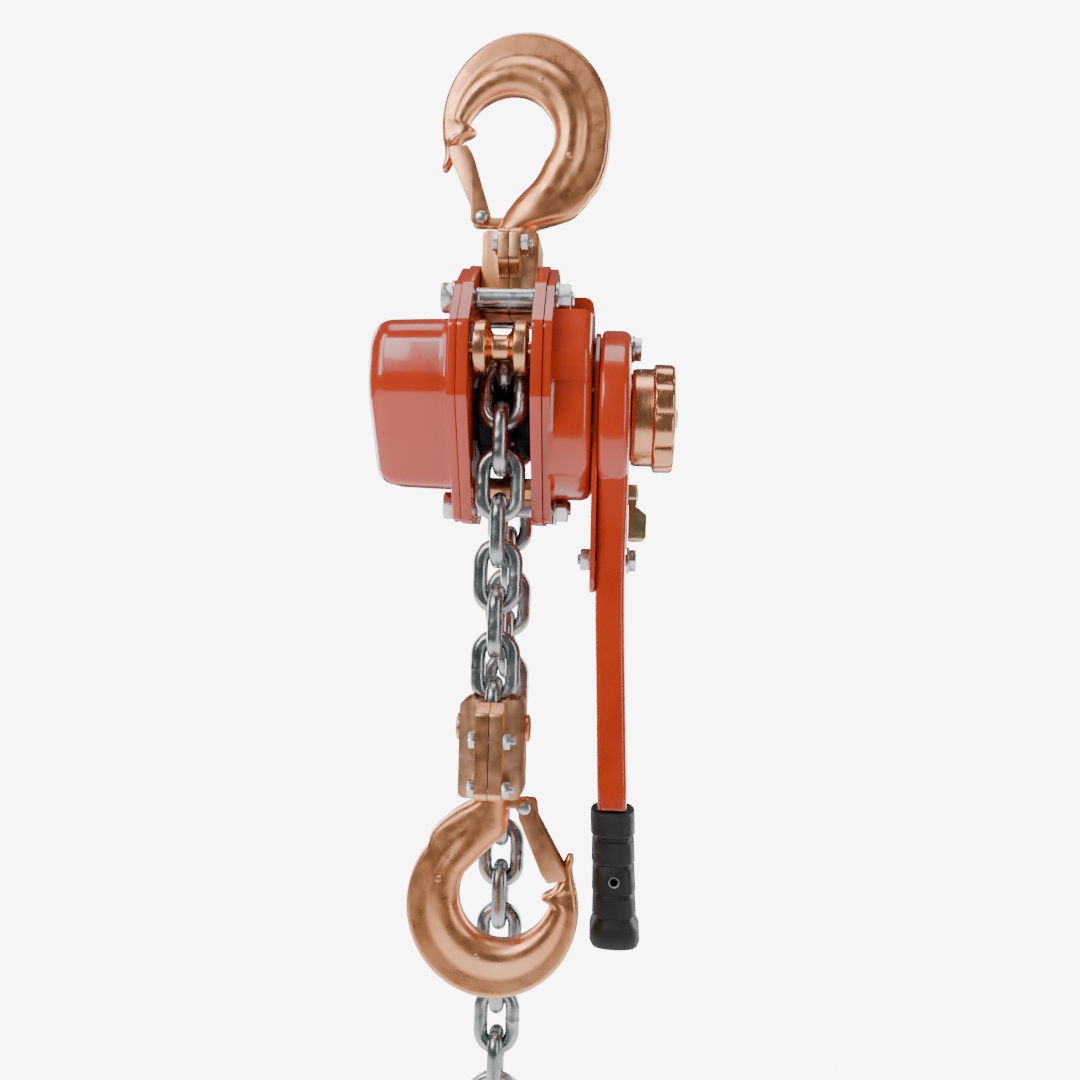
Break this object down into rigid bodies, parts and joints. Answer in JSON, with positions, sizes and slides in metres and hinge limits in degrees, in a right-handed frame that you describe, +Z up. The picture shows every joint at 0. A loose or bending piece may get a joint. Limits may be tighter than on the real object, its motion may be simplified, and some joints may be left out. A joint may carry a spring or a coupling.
{
  "type": "lever chain hoist",
  "caption": "Manual lever chain hoist with swivel hooks and latches, red geared housing, hand wheel, ratchet lever with rubber grip and a link load chain.",
  "frame": {"origin": "where the upper hook's swivel axis meets the inside of its bowl, at the hoist's hanging point", "axes": "+Z up along the load line, +X from the gear side to the lever side, +Y away from the front"},
  "size_m": [0.1415, 0.1046, 0.5423],
  "materials": {
    "red_paint": "gloss",
    "copper_plate": "satin",
    "zinc_plate": "satin",
    "steel": "satin",
    "yellow_zinc": "satin",
    "black_plate": "satin",
    "rubber": "matte",
    "lining": "matte"
  },
  "bodies": {
    "top_hook": {"top_hook": "copper_plate", "top_latch_pin": "zinc_plate"},
    "top_latch": {"top_latch": "copper_plate"},
    "top_yoke": {"top_yoke_left": "copper_plate", "top_yoke_right": "copper_plate", "top_yoke_bolt": "zinc_plate", "suspension_pin": "steel"},
    "housing": {"side_plate_gear": "red_paint", "side_plate_brake": "red_paint", "gear_cover": "red_paint", "nameplate": "black_plate", "brake_cover": "red_paint", "stay_bolt_front": "zinc_plate", "stay_bolt_rear": "zinc_plate", "stay_bolt_bottom": "zinc_plate", "stay_nut_front": "zinc_plate", "stay_nut_rear": "zinc_plate", "stay_nut_bottom": "zinc_plate", "chain_stripper": "copper_plate", "sheave_bearing_gear": "steel", "sheave_bearing_brake": "steel", "chain_wrap": "steel"},
    "guide_front": {"guide_roller_front": "copper_plate"},
    "guide_rear": {"guide_roller_rear": "copper_plate"},
    "sheave": {"load_sheave": "steel", "load_gear": "steel"},
    "reduction_front": {"reduction_gear_front": "steel"},
    "reduction_rear": {"reduction_gear_rear": "steel"},
    "drive": {"drive_shaft": "steel", "friction_hub": "steel", "friction_plate_inner": "lining", "ratchet_disc": "steel", "friction_plate_outer": "lining", "change_gear": "steel", "hand_wheel": "copper_plate", "shaft_nut": "zinc_plate"},
    "pawl_front": {"brake_pawl_front": "steel"},
    "pawl_rear": {"brake_pawl_rear": "steel"},
    "lever": {"lever_arm": "red_paint", "lever_cover": "red_paint", "lever_grip": "rubber", "lever_bolt_upper": "zinc_plate", "lever_bolt_lower": "zinc_plate", "lever_nut": "zinc_plate"},
    "selector": {"selector_pawl": "yellow_zinc"},
    "chain_upper": {"front_chain_upper": "steel"},
    "chain_middle": {"front_chain_middle": "steel"},
    "chain_lower": {"front_chain_lower": "steel"},
    "bottom_yoke": {"bottom_yoke_left": "copper_plate", "bottom_yoke_right": "copper_plate", "bottom_yoke_bolt_upper": "zinc_plate", "bottom_yoke_bolt_lower": "zinc_plate", "load_pin": "copper_plate"},
    "bottom_hook": {"bottom_hook": "copper_plate", "bottom_latch_pin": "zinc_plate"},
    "bottom_latch": {"bottom_latch": "copper_plate"},
    "tail_upper": {"tail_chain_upper": "steel"},
    "tail_lower": {"tail_chain_lower": "steel"},
    "end_ring": {"chain_end_ring": "zinc_plate"}
  },
  "joints": [
    {"name": "top_latch_hinge", "type": "hinge", "parent": "top_hook", "child": "top_latch", "pos_m": [-0.0152, 0, -0.06015], "axis": [0, 1, 0], "range_deg": [0, 32], "stiffness_Nm_per_rad": 0.02, "springref_deg": -28.65},
    {"name": "top_swivel", "type": "hinge", "parent": "top_hook", "child": "top_yoke", "pos_m": [0, 0, -0.07615], "axis": [0, 0, 1], "continuous": true},
    {"name": "suspension_tilt", "type": "hinge", "parent": "top_yoke", "child": "housing", "pos_m": [0, 0, -0.09715], "axis": [1, 0, 0], "range_deg": [-12, 12]},
    {"name": "guide_front_spin", "type": "hinge", "parent": "housing", "child": "guide_front", "pos_m": [0, -0.04, -0.12815], "axis": [1, 0, 0], "continuous": true},
    {"name": "guide_rear_spin", "type": "hinge", "parent": "housing", "child": "guide_rear", "pos_m": [0, 0.04, -0.12815], "axis": [1, 0, 0], "continuous": true},
    {"name": "sheave_spin", "type": "hinge", "parent": "housing", "child": "sheave", "pos_m": [0, 0, -0.15415], "axis": [1, 0, 0], "continuous": true},
    {"name": "reduction_front_spin", "type": "hinge", "parent": "housing", "child": "reduction_front", "pos_m": [-0.036, -0.01938, -0.1471], "axis": [1, 0, 0], "continuous": true},
    {"name": "reduction_rear_spin", "type": "hinge", "parent": "housing", "child": "reduction_rear", "pos_m": [-0.036, 0.01938, -0.1471], "axis": [1, 0, 0], "continuous": true},
    {"name": "drive_spin", "type": "hinge", "parent": "housing", "child": "drive", "pos_m": [0, 0, -0.15415], "axis": [1, 0, 0], "continuous": true},
    {"name": "pawl_front_swing", "type": "hinge", "parent": "housing", "child": "pawl_front", "pos_m": [0.028, -0.029, -0.12515], "axis": [1, 0, 0], "range_deg": [-6, 6], "stiffness_Nm_per_rad": 0.02},
    {"name": "pawl_rear_swing", "type": "hinge", "parent": "housing", "child": "pawl_rear", "pos_m": [0.028, 0.029, -0.12515], "axis": [1, 0, 0], "range_deg": [-6, 6], "stiffness_Nm_per_rad": 0.02},
    {"name": "lever_swing", "type": "hinge", "parent": "housing", "child": "lever", "pos_m": [0.051, 0, -0.15415], "axis": [1, 0, 0], "continuous": true},
    {"name": "selector_swing", "type": "hinge", "parent": "lever", "child": "selector", "pos_m": [0.055, 0, -0.19115], "axis": [1, 0, 0], "range_deg": [-10, 10]},
    {"name": "chain_upper_swing", "type": "hinge", "parent": "housing", "child": "chain_upper", "pos_m": [0, -0.0281, -0.1576], "axis": [-1, 0, 0], "range_deg": [0, 3]},
    {"name": "chain_middle_swing", "type": "hinge", "parent": "chain_upper", "child": "chain_middle", "pos_m": [0, -0.0281, -0.2206], "axis": [0, 1, 0], "range_deg": [-12, 12]},
    {"name": "chain_lower_swing", "type": "hinge", "parent": "chain_middle", "child": "chain_lower", "pos_m": [0, -0.0281, -0.2626], "axis": [-1, 0, 0], "range_deg": [0, 12]},
    {"name": "load_pin_swing", "type": "hinge", "parent": "chain_lower", "child": "bottom_yoke", "pos_m": [0, -0.0281, -0.30035], "axis": [-1, 0, 0], "range_deg": [0, 10]},
    {"name": "bottom_swivel", "type": "hinge", "parent": "bottom_yoke", "child": "bottom_hook", "pos_m": [0, -0.0281, -0.32415], "axis": [0, 0, 1], "continuous": true},
    {"name": "bottom_latch_hinge", "type": "hinge", "parent": "bottom_hook", "child": "bottom_latch", "pos_m": [0.01572, -0.0281, -0.33573], "axis": [0, 1, 0], "range_deg": [0, 32], "stiffness_Nm_per_rad": 0.02, "springref_deg": -28.65},
    {"name": "tail_upper_swing", "type": "hinge", "parent": "housing", "child": "tail_upper", "pos_m": [0, 0.025, -0.15115], "axis": [1, 0, 0], "range_deg": [0, 5]},
    {"name": "tail_lower_swing", "type": "hinge", "parent": "tail_upper", "child": "tail_lower", "pos_m": [0, 0.025, -0.31915], "axis": [0, 1, 0], "range_deg": [-12, 12]},
    {"name": "end_ring_swing", "type": "hinge", "parent": "tail_lower", "child": "end_ring", "pos_m": [0, 0.025, -0.48715], "axis": [1, 0, 0], "range_deg": [-20, 20]}
  ],
  "couplings": [
    {"joint": "reduction_front_spin", "follows": "sheave_spin", "ratio": -2},
    {"joint": "reduction_rear_spin", "follows": "sheave_spin", "ratio": -2},
    {"joint": "drive_spin", "follows": "sheave_spin", "ratio": 5.3333}
  ]
}
